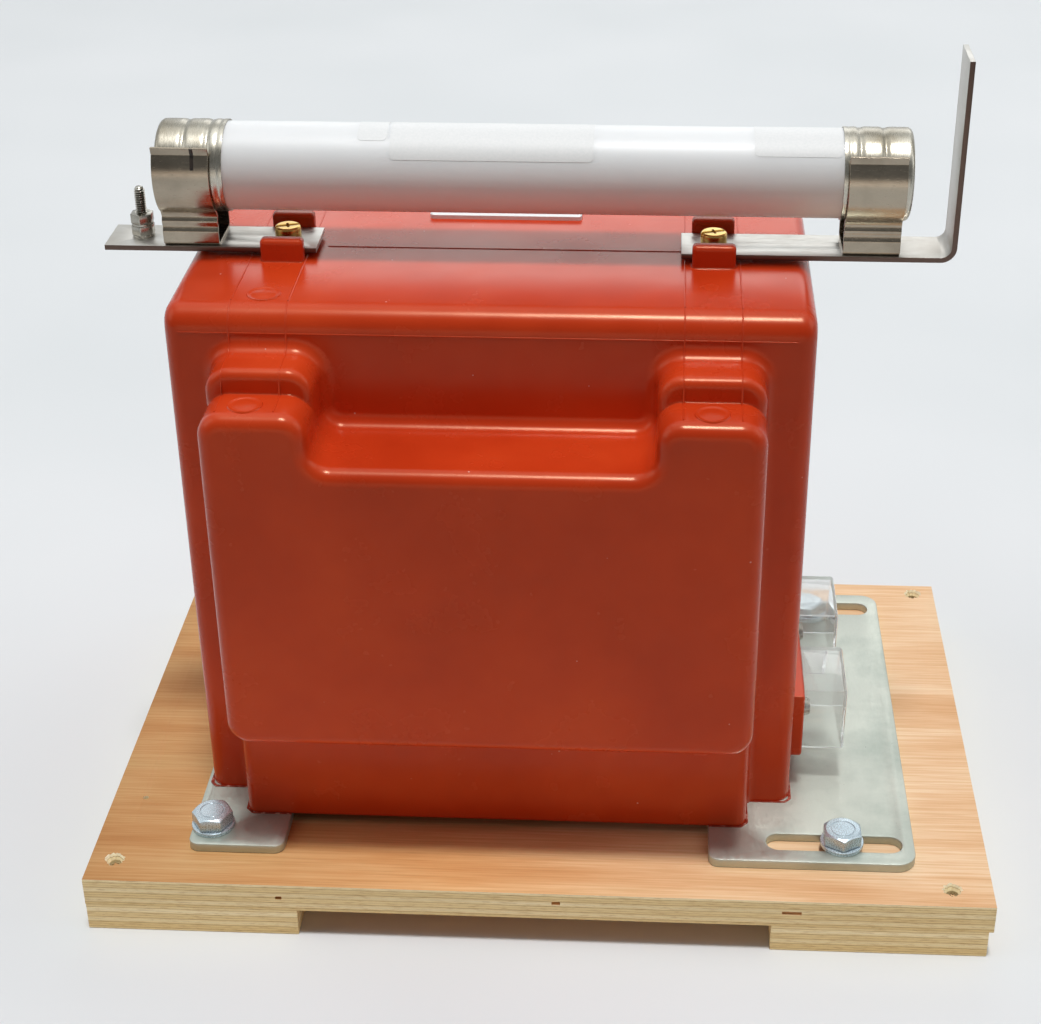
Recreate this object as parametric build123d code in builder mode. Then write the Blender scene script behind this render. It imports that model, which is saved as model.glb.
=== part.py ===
from build123d import *
import os
from math import cos, radians, sin, tan

# Cast-resin voltage transformer with a fuse on top, on a plywood shipping skid.
# Millimetres. +Z is up, the front faces -Y, and the origin is the middle of
# the skid's underside.

# Skid: a plywood board screwed on two plywood runners
board_width = 422.5
board_depth = 279.0
board_thickness = 14.6
runner_width = 100.0
runner_thickness = 14.6
left_runner_inset = 0.0
right_runner_inset = 2.0

# Base plate: zinc-plated sheet steel with two feet at the left and a wide right side
plate_thickness = 4.7
plate_left = -165.9
plate_right = 177.1
plate_setback = 0.3
plate_mid_y = 1.9
left_foot_width = 45.6
right_foot_left = 80.2
plate_notch_depth = 40.0
plate_outer_radius = 9.0
plate_foot_radius = 5.0
slot_length = 64.0
slot_width = 12.0
slot_mid_x = 139.4
slot_edge_distance = 14.6
foot_hole_diameter = 12.0
foot_hole_edge_distance = 9.6

# M10 hexagon bolts with flat washers
bolt_diameter = 10.0
bolt_head_across_flats = 17.0
bolt_head_height = 6.8
bolt_head_chamfer = 0.6
head_cone_angle = 30.0
bolt_bite = 12.0
right_bolt_x = 143.0
bolt_turns = {"front_left": 4.0, "front_right": 31.0, "back_left": 17.0, "back_right": 50.0}
washer_diameter = 20.4
washer_thickness = 2.0
bolt_clearance = 0.3

# Cast body
mid_x = -21.8
body_width = 282.8
body_depth = 146.6
body_height = 255.1
shoulder_radius = 10.6
body_corner_radius = 7.0

# Coil housing: the same swelling at the front and at the back
housing_width = 240.0
housing_reach = 45.6
housing_bottom = 57.6
housing_top = 226.1
housing_corner_radius = 11.0
housing_edge_radius = 6.5
skirt_reach = 20.1
skirt_edge_radius = 5.0
saddle_width = 146.8
saddle_floor = 201.1
saddle_corner_radius = 9.0
junction_radius = 6.0
step_height = 10.5
step_reach = 22.1
step_edge_radius = 4.0

# Lugs that stop each strap from turning
lug_width = 19.6
lug_depth = 6.6
lug_height = 10.5
lug_radius = 2.0
lug_edge_radius = 2.0
lug_gap = 0.3

# Pad that carries the low-voltage terminals on the right side
pad_thickness = 5.9
pad_length = 117.8
pad_height = 34.4
pad_bottom = 17.5
pad_radius = 1.5

# High-voltage terminals: brass inserts and slotted brass screws
terminal_spacing = 194.6
insert_diameter = 14.0
insert_depth = 20.0
insert_stand = 1.8
screw_diameter = 6.0
screw_length = 14.0
screw_head_diameter = 12.0
screw_head_height = 6.0
screw_head_radius = 1.2
screw_slot_angle = 20.0
screw_slot_width = 1.6
screw_slot_depth = 2.2
thread_clearance = 0.1

# Straps: tinned copper bar, one flat and one bent up at its outer end
strap_width = 25.4
strap_thickness = 2.4
strap_inner_end = 14.6
left_strap_outer_end = 40.3
right_strap_outer_end = 37.9
strap_leg_height = 91.8
strap_bend_radius = 7.0
strap_hole_clearance = 0.4

# Fuse: a glazed tube between two plated ferrules
fuse_height = 327.6
fuse_mid_x = -6.1
fuse_length = 334.8
tube_radius = 19.8
tube_wall = 6.0
ferrule_radius = 20.6
ferrule_length = 30.5
ferrule_end_thickness = 1.2
ferrule_edge_radius = 1.5
ferrule_groove_depth = 0.6
ferrule_groove_radius = 1.6
ferrule_groove_places = (13.0, 24.0)
ferrule_clearance = 0.1

# Spring clips: one bent strip each, riveted to its strap
clip_thickness = 1.2
clip_width = 25.4
left_clip_inset = 12.2
right_clip_inset = 15.7
clip_base_width = 25.2
clip_wrap_start = -55.0
clip_wrap_end = 32.0
clip_lip_length = 4.0
clip_lip_turn = 52.0
clip_crimp_depth = 1.1
clip_crimp_start = 6.8
clip_crimp_pitch = 2.4
clip_crimp_radius = 0.7
clip_bend_radius = 1.6
clip_clearance = 0.2
rivet_diameter = 4.8
rivet_head_diameter = 9.0
rivet_head_height = 1.8
rivet_head_radius = 1.2

# Line stud at the outer end of the left strap
stud_end_distance = 15.4
stud_diameter = 5.0
stud_core_diameter = 4.5
stud_free_start = 0.2
stud_free_length = 12.4
stud_chamfer = 0.6
stud_head_across_flats = 8.0
stud_head_height = 3.5
nut_across_flats = 9.5
nut_turn = 30.0
nut_height = 4.4
stud_washer_diameter = 10.0
stud_washer_thickness = 1.2

# Low-voltage terminals under clear covers
cover_spacing = 67.6
cover_length = 38.4
cover_reach = 20.8
cover_height = 34.0
cover_wall = 1.6
cover_edge_radius = 2.0
low_insert_diameter = 9.0
low_insert_depth = 12.0
low_screw_diameter = 4.0
low_screw_length = 9.0
low_screw_head_diameter = 8.4
low_screw_head_height = 3.0
low_screw_slot_width = 1.1
low_screw_slot_depth = 1.3
low_terminal_height = 12.0

# Heights and places that follow from the sizes above
board_bottom = runner_thickness
board_top = board_bottom + board_thickness
plate_top = board_top + plate_thickness
body_top = plate_top + body_height
strap_bottom = body_top + insert_stand
strap_top = strap_bottom + strap_thickness
mid_y = plate_mid_y
plate_depth = body_depth + 2 * housing_reach - 2 * plate_setback
plate_mid_x = (plate_left + plate_right) / 2
plate_width = plate_right - plate_left
foot_offset_y = plate_depth / 2 - slot_edge_distance
left_bolt_x = plate_left + foot_hole_edge_distance
body_right = mid_x + body_width / 2
pad_face = body_right + pad_thickness
terminal_offset = terminal_spacing / 2
ferrule_inner_radius = tube_radius + ferrule_clearance
clip_radius = ferrule_radius + clip_clearance
left_clip_x = fuse_mid_x - fuse_length / 2 + left_clip_inset
right_clip_x = fuse_mid_x + fuse_length / 2 - right_clip_inset
left_strap_start = left_clip_x - left_strap_outer_end
left_strap_end = mid_x - terminal_offset + strap_inner_end
right_strap_start = mid_x + terminal_offset - strap_inner_end
right_strap_end = right_clip_x + right_strap_outer_end
stud_x = left_strap_start + stud_end_distance
cover_top = plate_top + pad_bottom + pad_height
low_terminals = [
    (mid_y + side * cover_spacing / 2, plate_top + pad_bottom + low_terminal_height)
    for side in (-1, 1)
]
pieces = {}

os.makedirs("parts", exist_ok=True)


def keep(name, part, color):
    """Label a finished piece, remember it and write its STEP file."""
    part.label = name
    part.color = Color(color)
    pieces[name] = part
    export_step(part, f"parts/{name}.step")


def bolt_places():
    """Name and centre of each of the four bolts in plan."""
    for side, x in (("left", left_bolt_x), ("right", right_bolt_x)):
        for end, y in (("front", mid_y - foot_offset_y), ("back", mid_y + foot_offset_y)):
            yield f"{end}_{side}", x, y


# Skid board
with BuildPart() as skid_board:
    with BuildSketch(Plane.XY.offset(board_bottom)):
        Rectangle(board_width, board_depth)
        for _, x, y in bolt_places():
            with Locations((x, y)):
                Circle(bolt_diameter / 2 + bolt_clearance, mode=Mode.SUBTRACT)
    extrude(amount=board_thickness)
keep("skid_board", skid_board.part, "burlywood")


# Skid runners
def build_runner(side, centre):
    with BuildPart() as runner:
        with BuildSketch():
            with Locations((centre, 0)):
                Rectangle(runner_width, board_depth)
        extrude(amount=runner_thickness)
        bore_floor = Plane.XY.offset(runner_thickness - bolt_bite)
        with BuildSketch(bore_floor):
            for name, x, y in bolt_places():
                if name.endswith(side):
                    with Locations((x, y)):
                        Circle(bolt_diameter / 2 + bolt_clearance)
        extrude(amount=bolt_bite, mode=Mode.SUBTRACT)
    keep(f"skid_runner_{side}", runner.part, "tan")


build_runner("left", -board_width / 2 + left_runner_inset + runner_width / 2)
build_runner("right", board_width / 2 - right_runner_inset - runner_width / 2)

# Base plate
with BuildPart() as base_plate:
    with BuildSketch(Plane.XY.offset(board_top)) as plate_outline:
        with Locations((plate_mid_x, mid_y)):
            Rectangle(plate_width, plate_depth)
        notch_left = plate_left + left_foot_width
        notch_width = right_foot_left - notch_left
        for end in (-1, 1):
            edge_y = mid_y + end * plate_depth / 2
            with Locations((notch_left + notch_width / 2, edge_y)):
                Rectangle(notch_width, 2 * plate_notch_depth, mode=Mode.SUBTRACT)
        foot_corners = plate_outline.vertices().filter_by(lambda v: v.X < right_foot_left + 0.01)
        fillet(foot_corners, plate_foot_radius)
        right_corners = plate_outline.vertices().filter_by(lambda v: v.X > plate_right - 0.01)
        fillet(right_corners, plate_outer_radius)
        for name, x, y in bolt_places():
            if name.endswith("left"):
                with Locations((x, y)):
                    Circle(foot_hole_diameter / 2, mode=Mode.SUBTRACT)
            else:
                with Locations((slot_mid_x, y)):
                    SlotOverall(slot_length, slot_width, mode=Mode.SUBTRACT)
    extrude(amount=plate_thickness)
keep("base_plate", base_plate.part, "lightsteelblue")


# Bolts and washers
for place, bolt_x, bolt_y in bolt_places():
    with BuildPart() as washer:
        with BuildSketch(Plane.XY.offset(plate_top)):
            with Locations((bolt_x, bolt_y)):
                Circle(washer_diameter / 2)
                Circle(bolt_diameter / 2 + bolt_clearance, mode=Mode.SUBTRACT)
        extrude(amount=washer_thickness)
    keep(f"bolt_washer_{place}", washer.part, "silver")

    head_bottom = plate_top + washer_thickness
    with BuildPart() as bolt:
        with BuildSketch(Plane.XY.offset(head_bottom)):
            with Locations((bolt_x, bolt_y)):
                RegularPolygon(
                    bolt_head_across_flats / 2, 6, major_radius=False, rotation=bolt_turns[place]
                )
        extrude(amount=bolt_head_height)
        # A shallow cone turned on the top cuts the six corners back
        with Locations((bolt_x, bolt_y, head_bottom)):
            Cone(
                bolt_head_across_flats / 2
                - bolt_head_chamfer
                + bolt_head_height / tan(radians(head_cone_angle)),
                bolt_head_across_flats / 2 - bolt_head_chamfer,
                bolt_head_height,
                align=(Align.CENTER, Align.CENTER, Align.MIN),
                mode=Mode.INTERSECT,
            )
        shank_bottom = board_bottom - bolt_bite
        with BuildSketch(Plane.XY.offset(shank_bottom)):
            with Locations((bolt_x, bolt_y)):
                Circle(bolt_diameter / 2)
        extrude(amount=head_bottom - shank_bottom)
    keep(f"hex_bolt_{place}", bolt.part, "gainsboro")


# Cast body
def housing_outline(top):
    """Front view of the coil housing: two posts with a saddle between them."""
    with BuildSketch(Plane.XZ.offset(-mid_y)) as outline:
        with Locations((mid_x, plate_top + housing_bottom)):
            Rectangle(housing_width, top - housing_bottom, align=(Align.CENTER, Align.MIN))
        with Locations((mid_x, plate_top + top)):
            Rectangle(saddle_width, 2 * (top - saddle_floor), mode=Mode.SUBTRACT)
        fillet(outline.vertices().group_by(Axis.Y)[1], saddle_corner_radius)
        levels = outline.vertices().group_by(Axis.Y)
        fillet(levels[0] + levels[-1], housing_corner_radius)
    return outline.sketch


def edges_at(edges, level):
    """Edges that lie flat in the plane across Y at a level."""
    return edges.filter_by(Plane.XZ).filter_by_position(Axis.Y, level - 0.01, level + 0.01)


with BuildPart() as front_half:
    # Front half of the block of resin round the core
    with BuildSketch(Plane.YZ.offset(mid_x - body_width / 2)) as block_side:
        with Locations((mid_y, plate_top)):
            Rectangle(body_depth / 2, body_height, align=(Align.MAX, Align.MIN))
        fillet(block_side.vertices().sort_by(lambda v: v.Y - v.X)[-1], shoulder_radius)
    extrude(amount=body_width)
    side_edges = front_half.faces().filter_by(Axis.X).edges()
    outer_edges = side_edges.filter_by(
        lambda e: e.center().Z > plate_top + 1 and e.center().Y < mid_y - 1
    )
    fillet(outer_edges, body_corner_radius)

    # Coil housing, out to its front face
    extrude(housing_outline(housing_top), amount=body_depth / 2 + housing_reach)
    fillet(front_half.faces().sort_by(Axis.Y)[0].edges(), housing_edge_radius)

    # Step on top of the two posts
    extrude(housing_outline(housing_top + step_height), amount=body_depth / 2 + step_reach)
    shelf_level = plate_top + housing_top
    riser_edges = edges_at(front_half.edges(), mid_y - body_depth / 2 - step_reach)
    foot_edges = riser_edges.filter_by(
        lambda e: e.bounding_box().max.Z < shelf_level + 0.01 and e.bounding_box().size.X > 1
    )
    fillet(riser_edges - foot_edges, step_edge_radius)

    # Skirt below the housing, down to the base plate
    with BuildSketch(Plane.XY.offset(plate_top)) as skirt:
        with Locations((mid_x, mid_y)):
            Rectangle(
                housing_width, body_depth / 2 + skirt_reach, align=(Align.CENTER, Align.MAX)
            )
        fillet(skirt.vertices().group_by(Axis.Y)[0], skirt_edge_radius)
    extrude(amount=housing_bottom + housing_corner_radius)

    # Soft inside corner where the housing meets the block
    junction = edges_at(front_half.edges(), mid_y - body_depth / 2)
    junction = junction.filter_by_position(
        Axis.X, mid_x - housing_width / 2 - 0.01, mid_x + housing_width / 2 + 0.01
    )
    junction = junction.filter_by_position(Axis.Z, plate_top + 1, shelf_level + step_height + 1)
    fillet(junction, junction_radius)

with BuildPart() as cast_body:
    add(front_half.part)
    mirror(about=Plane.XZ.offset(-mid_y))

    # Lugs beside the two straps
    with BuildSketch(Plane.XY.offset(body_top - lug_radius)) as lugs:
        lug_offset = strap_width / 2 + lug_gap + lug_depth / 2
        for x in (mid_x - terminal_offset, mid_x + terminal_offset):
            for y in (mid_y - lug_offset, mid_y + lug_offset):
                with Locations((x, y)):
                    RectangleRounded(lug_width, lug_depth, lug_radius)
    extrude(amount=lug_height + lug_radius)
    fillet(cast_body.faces().sort_by(Axis.Z)[-4:].edges(), lug_edge_radius)

    # Pad of the low-voltage terminals
    with BuildSketch(Plane.YZ.offset(body_right)):
        with Locations((mid_y, plate_top + pad_bottom)):
            Rectangle(pad_length, pad_height, align=(Align.CENTER, Align.MIN))
    extrude(amount=pad_thickness)
    pad_rim = cast_body.faces().sort_by(Axis.X)[-1].edges()
    fillet(pad_rim, pad_radius)

    # Seats of the brass inserts: two in the top, two in the pad
    with BuildSketch(Plane.XY.offset(body_top - insert_depth)):
        with Locations((mid_x - terminal_offset, mid_y), (mid_x + terminal_offset, mid_y)):
            Circle(insert_diameter / 2 + thread_clearance)
    extrude(amount=insert_depth, mode=Mode.SUBTRACT)
    with BuildSketch(Plane.YZ.offset(pad_face - low_insert_depth)):
        with Locations(*low_terminals):
            Circle(low_insert_diameter / 2 + thread_clearance)
    extrude(amount=low_insert_depth, mode=Mode.SUBTRACT)
keep("cast_body", cast_body.part, "firebrick")


# High-voltage terminals
def build_terminal(side, x):
    with BuildPart() as insert:
        with BuildSketch(Plane.XY.offset(body_top - insert_depth)):
            with Locations((x, mid_y)):
                Circle(insert_diameter / 2)
        extrude(amount=insert_depth + insert_stand)
        with BuildSketch(Plane.XY.offset(strap_top - screw_length)):
            with Locations((x, mid_y)):
                Circle(screw_diameter / 2 + thread_clearance)
        extrude(amount=screw_length, mode=Mode.SUBTRACT)
    keep(f"terminal_insert_{side}", insert.part, "goldenrod")

    with BuildPart() as screw:
        with BuildSketch(Plane.XY.offset(strap_top - screw_length)):
            with Locations((x, mid_y)):
                Circle(screw_diameter / 2)
        extrude(amount=screw_length)
        with BuildSketch(Plane.XY.offset(strap_top)):
            with Locations((x, mid_y)):
                Circle(screw_head_diameter / 2)
        extrude(amount=screw_head_height)
        fillet(screw.edges().group_by(Axis.Z)[-1], screw_head_radius)
        with BuildSketch(Plane.XY.offset(strap_top + screw_head_height)):
            with Locations((x, mid_y)):
                Rectangle(screw_head_diameter + 1, screw_slot_width, rotation=screw_slot_angle)
        extrude(amount=-screw_slot_depth, mode=Mode.SUBTRACT)
    keep(f"terminal_screw_{side}", screw.part, "gold")


build_terminal("left", mid_x - terminal_offset)
build_terminal("right", mid_x + terminal_offset)

# Left strap, a flat bar
with BuildPart() as strap_left:
    with BuildSketch(Plane.XY.offset(strap_bottom)):
        with Locations(((left_strap_start + left_strap_end) / 2, mid_y)):
            Rectangle(left_strap_end - left_strap_start, strap_width)
        with Locations((mid_x - terminal_offset, mid_y)):
            Circle((screw_diameter + strap_hole_clearance) / 2, mode=Mode.SUBTRACT)
        with Locations((left_clip_x, mid_y)):
            Circle((rivet_diameter + strap_hole_clearance) / 2, mode=Mode.SUBTRACT)
        with Locations((stud_x, mid_y)):
            Circle(stud_core_diameter / 2 + thread_clearance, mode=Mode.SUBTRACT)
    extrude(amount=strap_thickness)
keep("strap_left", strap_left.part, "silver")

# Right strap, bent up at its outer end
with BuildPart() as strap_right:
    with BuildSketch(Plane.XZ.offset(-mid_y)) as strap_side:
        with BuildLine():
            FilletPolyline(
                (right_strap_start, strap_bottom),
                (right_strap_end, strap_bottom),
                (right_strap_end, strap_bottom + strap_leg_height),
                radius=strap_bend_radius,
            )
            offset(amount=strap_thickness, side=Side.LEFT)
        make_face()
    extrude(amount=strap_width / 2, both=True)
    with BuildSketch(Plane.XY.offset(strap_bottom)):
        with Locations((mid_x + terminal_offset, mid_y)):
            Circle((screw_diameter + strap_hole_clearance) / 2)
        with Locations((right_clip_x, mid_y)):
            Circle((rivet_diameter + strap_hole_clearance) / 2)
    extrude(amount=strap_thickness, mode=Mode.SUBTRACT)
keep("strap_right", strap_right.part, "silver")

# Fuse tube
with BuildPart() as fuse_tube:
    tube_length = fuse_length - 2 * ferrule_end_thickness
    with BuildSketch(Plane.YZ.offset(fuse_mid_x - tube_length / 2)):
        with Locations((mid_y, fuse_height)):
            Circle(tube_radius)
            Circle(tube_radius - tube_wall, mode=Mode.SUBTRACT)
    extrude(amount=tube_length)
keep("fuse_tube", fuse_tube.part, "white")


# Fuse ferrules
def build_ferrule(side, end):
    """A cup with two rolled grooves; end is -1 for the left one and 1 for the right one."""
    end_centre = (fuse_mid_x + end * fuse_length / 2, mid_y, fuse_height)
    with BuildPart() as ferrule:
        # Half section: X runs inwards from the end face and Y outwards from the axis
        inwards = Plane(origin=end_centre, x_dir=(-end, 0, 0), z_dir=(0, end, 0))
        with BuildSketch(inwards) as section:
            Rectangle(ferrule_length, ferrule_radius, align=Align.MIN)
            end_corner = section.vertices().sort_by(lambda v: v.Y - v.X)[-1]
            fillet(end_corner, ferrule_edge_radius)
            with Locations((ferrule_end_thickness, 0)):
                Rectangle(ferrule_length, ferrule_inner_radius, align=Align.MIN, mode=Mode.SUBTRACT)
            for place in ferrule_groove_places:
                with Locations((place, ferrule_radius + ferrule_groove_radius - ferrule_groove_depth)):
                    Circle(ferrule_groove_radius, mode=Mode.SUBTRACT)
        revolve(axis=Axis(end_centre, (1, 0, 0)))
    keep(f"fuse_ferrule_{side}", ferrule.part, "lightgray")


build_ferrule("left", -1)
build_ferrule("right", 1)


# Spring clips
def clip_point(angle):
    """Point of the clip's front leaf at an angle above the horizontal."""
    return (-clip_radius * cos(radians(angle)), clip_radius * sin(radians(angle)))


def build_clip(side, x):
    """A bent strip: base on the strap, two crimped legs, two leaves and their lips."""
    base = strap_top - fuse_height
    foot = clip_base_width / 2 - clip_thickness
    start = clip_point(clip_wrap_start)
    finish = clip_point(clip_wrap_end)
    lip_angle = radians(clip_lip_turn - clip_wrap_end)
    lip = (
        finish[0] - clip_lip_length * sin(lip_angle),
        finish[1] + clip_lip_length * cos(lip_angle),
    )
    inner_base = base + clip_thickness
    first_crimp = base + clip_crimp_start
    crimp_line = clip_crimp_depth - foot
    with BuildPart() as clip:
        with BuildSketch(Plane(origin=(x, mid_y, fuse_height), x_dir=(0, 1, 0), z_dir=(1, 0, 0))):
            with BuildLine():
                FilletPolyline(
                    (0, inner_base),
                    (-foot, inner_base),
                    (-foot, first_crimp),
                    (crimp_line, first_crimp + clip_crimp_pitch),
                    (-foot, first_crimp + 2 * clip_crimp_pitch),
                    (crimp_line, first_crimp + 3 * clip_crimp_pitch),
                    start,
                    radius=[clip_bend_radius] + 4 * [clip_crimp_radius],
                )
                ThreePointArc(start, clip_point((clip_wrap_start + clip_wrap_end) / 2), finish)
                Line(finish, lip)
                offset(amount=clip_thickness, side=Side.LEFT)
            make_face()
            mirror(about=Plane.YZ)
        extrude(amount=clip_width / 2, both=True)
        with BuildSketch(Plane.XY.offset(strap_top)):
            with Locations((x, mid_y)):
                Circle((rivet_diameter + strap_hole_clearance) / 2)
        extrude(amount=clip_thickness, mode=Mode.SUBTRACT)
    keep(f"fuse_clip_{side}", clip.part, "silver")

    # Rivet through the clip's base and the strap
    with BuildPart() as rivet:
        with BuildSketch(Plane.XY.offset(strap_bottom - rivet_head_height)):
            with Locations((x, mid_y)):
                Circle(rivet_head_diameter / 2)
        extrude(amount=rivet_head_height)
        with BuildSketch(Plane.XY.offset(strap_bottom)):
            with Locations((x, mid_y)):
                Circle(rivet_diameter / 2)
        extrude(amount=strap_thickness + clip_thickness)
        with BuildSketch(Plane.XY.offset(strap_top + clip_thickness)):
            with Locations((x, mid_y)):
                Circle(rivet_head_diameter / 2)
        extrude(amount=rivet_head_height)
        rims = rivet.edges().group_by(Axis.Z)
        fillet(rims[0] + rims[-1], rivet_head_radius)
    keep(f"clip_rivet_{side}", rivet.part, "darkgray")


build_clip("left", left_clip_x)
build_clip("right", right_clip_x)

# Line stud with two nuts and two washers: the thread stands at its full size
# above the nuts, and at its core size inside them
nut_stack_top = strap_top + 2 * (stud_washer_thickness + nut_height)
with BuildPart() as line_stud:
    with BuildSketch(Plane.XY.offset(strap_bottom - stud_head_height)):
        with Locations((stud_x, mid_y)):
            RegularPolygon(stud_head_across_flats / 2, 6, major_radius=False)
    extrude(amount=stud_head_height)
    with BuildSketch(Plane.XY.offset(strap_bottom)):
        with Locations((stud_x, mid_y)):
            Circle(stud_core_diameter / 2)
    extrude(amount=nut_stack_top + stud_free_start - strap_bottom)
    with BuildSketch(Plane.XY.offset(nut_stack_top + stud_free_start)):
        with Locations((stud_x, mid_y)):
            Circle(stud_diameter / 2)
    extrude(amount=stud_free_length)
    chamfer(line_stud.faces().sort_by(Axis.Z)[-1].edges(), stud_chamfer)
keep("line_stud", line_stud.part, "gray")

for place, stack_level in (
    ("lower", strap_top),
    ("upper", strap_top + stud_washer_thickness + nut_height),
):
    with BuildPart() as stud_washer:
        with BuildSketch(Plane.XY.offset(stack_level)):
            with Locations((stud_x, mid_y)):
                Circle(stud_washer_diameter / 2)
                Circle(stud_core_diameter / 2 + thread_clearance, mode=Mode.SUBTRACT)
        extrude(amount=stud_washer_thickness)
    keep(f"stud_washer_{place}", stud_washer.part, "lightgray")

    with BuildPart() as stud_nut:
        with BuildSketch(Plane.XY.offset(stack_level + stud_washer_thickness)):
            with Locations((stud_x, mid_y)):
                RegularPolygon(nut_across_flats / 2, 6, major_radius=False, rotation=nut_turn)
                Circle(stud_core_diameter / 2 + thread_clearance, mode=Mode.SUBTRACT)
        extrude(amount=nut_height)
    keep(f"stud_nut_{place}", stud_nut.part, "gray")

# Low-voltage terminals and their clear covers
for place, (terminal_y, terminal_z) in zip(("front", "back"), low_terminals):
    with BuildPart() as low_insert:
        with BuildSketch(Plane.YZ.offset(pad_face - low_insert_depth)):
            with Locations((terminal_y, terminal_z)):
                Circle(low_insert_diameter / 2)
        extrude(amount=low_insert_depth)
        with BuildSketch(Plane.YZ.offset(pad_face - low_screw_length)):
            with Locations((terminal_y, terminal_z)):
                Circle(low_screw_diameter / 2 + thread_clearance)
        extrude(amount=low_screw_length, mode=Mode.SUBTRACT)
    keep(f"low_insert_{place}", low_insert.part, "goldenrod")

    with BuildPart() as low_screw:
        with BuildSketch(Plane.YZ.offset(pad_face - low_screw_length)):
            with Locations((terminal_y, terminal_z)):
                Circle(low_screw_diameter / 2)
        extrude(amount=low_screw_length)
        with BuildSketch(Plane.YZ.offset(pad_face)):
            with Locations((terminal_y, terminal_z)):
                Circle(low_screw_head_diameter / 2)
        extrude(amount=low_screw_head_height)
        with BuildSketch(Plane.YZ.offset(pad_face + low_screw_head_height)):
            with Locations((terminal_y, terminal_z)):
                Rectangle(low_screw_head_diameter + 1, low_screw_slot_width)
        extrude(amount=-low_screw_slot_depth, mode=Mode.SUBTRACT)
    keep(f"low_screw_{place}", low_screw.part, "gold")

    # Cover: a clear box, open towards the pad and at the bottom for the wires
    with BuildPart() as cover:
        with BuildSketch(Plane.YZ.offset(pad_face)):
            with Locations((terminal_y, cover_top)):
                Rectangle(cover_length, cover_height, align=(Align.CENTER, Align.MAX))
        extrude(amount=cover_reach)
        outer_edges = cover.faces().sort_by(Axis.X)[-1].edges().sort_by(Axis.Z)[1:]
        fillet(outer_edges, cover_edge_radius)
        with BuildSketch(Plane.YZ.offset(pad_face)):
            with Locations((terminal_y, cover_top - cover_wall)):
                Rectangle(
                    cover_length - 2 * cover_wall,
                    cover_height - cover_wall,
                    align=(Align.CENTER, Align.MAX),
                )
        extrude(amount=cover_reach - cover_wall, mode=Mode.SUBTRACT)
    keep(f"terminal_cover_{place}", cover.part, "azure")
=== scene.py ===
"""Looks of a cast-resin voltage transformer with a fuse on top, on a plywood skid.

Everything is in metres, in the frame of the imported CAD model. What is written in
millimetres is turned to metres by MM or mm().
"""

import random
from contextlib import contextmanager
from functools import partial
from math import cos, exp, pi, radians, sin

import bmesh
import bpy
from mathutils import Matrix, Vector
from mathutils.bvhtree import BVHTree


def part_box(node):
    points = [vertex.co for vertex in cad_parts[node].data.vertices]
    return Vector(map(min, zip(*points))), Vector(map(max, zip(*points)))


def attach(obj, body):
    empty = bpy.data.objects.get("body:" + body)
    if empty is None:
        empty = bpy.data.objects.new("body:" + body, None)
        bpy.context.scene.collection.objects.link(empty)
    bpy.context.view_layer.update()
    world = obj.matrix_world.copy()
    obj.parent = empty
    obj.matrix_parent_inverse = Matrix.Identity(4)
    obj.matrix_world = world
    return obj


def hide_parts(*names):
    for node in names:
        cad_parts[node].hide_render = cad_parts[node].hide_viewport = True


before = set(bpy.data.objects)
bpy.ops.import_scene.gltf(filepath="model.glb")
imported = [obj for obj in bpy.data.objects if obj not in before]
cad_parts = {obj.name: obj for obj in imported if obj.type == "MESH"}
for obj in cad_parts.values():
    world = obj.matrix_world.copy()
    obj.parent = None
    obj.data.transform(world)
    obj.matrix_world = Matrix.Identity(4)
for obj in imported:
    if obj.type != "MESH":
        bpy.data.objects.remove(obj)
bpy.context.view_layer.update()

bl_info = {
    "name": "Fused voltage transformer",
    "version": (1, 0, 0),
    "blender": (4, 5, 0),
    "location": "3D View > Sidebar > Transformer",
    "description": "Builds the looks of a cast-resin voltage transformer around its CAD model",
    "category": "Object",
}

MM = 0.001

# Thickness of one ply of the boards
PLY = 2.92 * MM
# The brass inserts stand this far out of the casting, and the straps lie on them
INSERT_RISE = 1.8 * MM
# Half the width of the boards' holes for the M10 bolts
BOLT_HOLE = 5.3 * MM
# Rays that look for a surface start this far out
FAR = 0.4

# Levels and middles that the pieces share, read from the CAD model
BOARD_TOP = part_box("skid_board")[1].z
PLATE_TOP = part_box("base_plate")[1].z
MID_Y = (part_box("base_plate")[0].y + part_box("base_plate")[1].y) / 2
BODY_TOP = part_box("strap_left")[0].z - INSERT_RISE
TUBE_LOW, TUBE_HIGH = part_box("fuse_tube")
TUBE_RADIUS = (TUBE_HIGH.y - TUBE_LOW.y) / 2
TUBE_AXIS_Z = (TUBE_HIGH.z + TUBE_LOW.z) / 2

CORNERS = ("front_left", "front_right", "back_left", "back_right")
SIDES = ("left", "right")
DOWN = (0, 0, -1)


def mm(*values):
    """A point that is written in millimetres."""
    return Vector([value * MM for value in values])


def linear(color):
    """Linear RGBA from an sRGB hex colour such as "A82C18", or from linear RGB."""
    if not isinstance(color, str):
        return (*color, 1.0)
    channels = [int(color[i : i + 2], 16) / 255 for i in (0, 2, 4)]
    return (*(c / 12.92 if c <= 0.04045 else ((c + 0.055) / 1.055) ** 2.4 for c in channels), 1.0)


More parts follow.
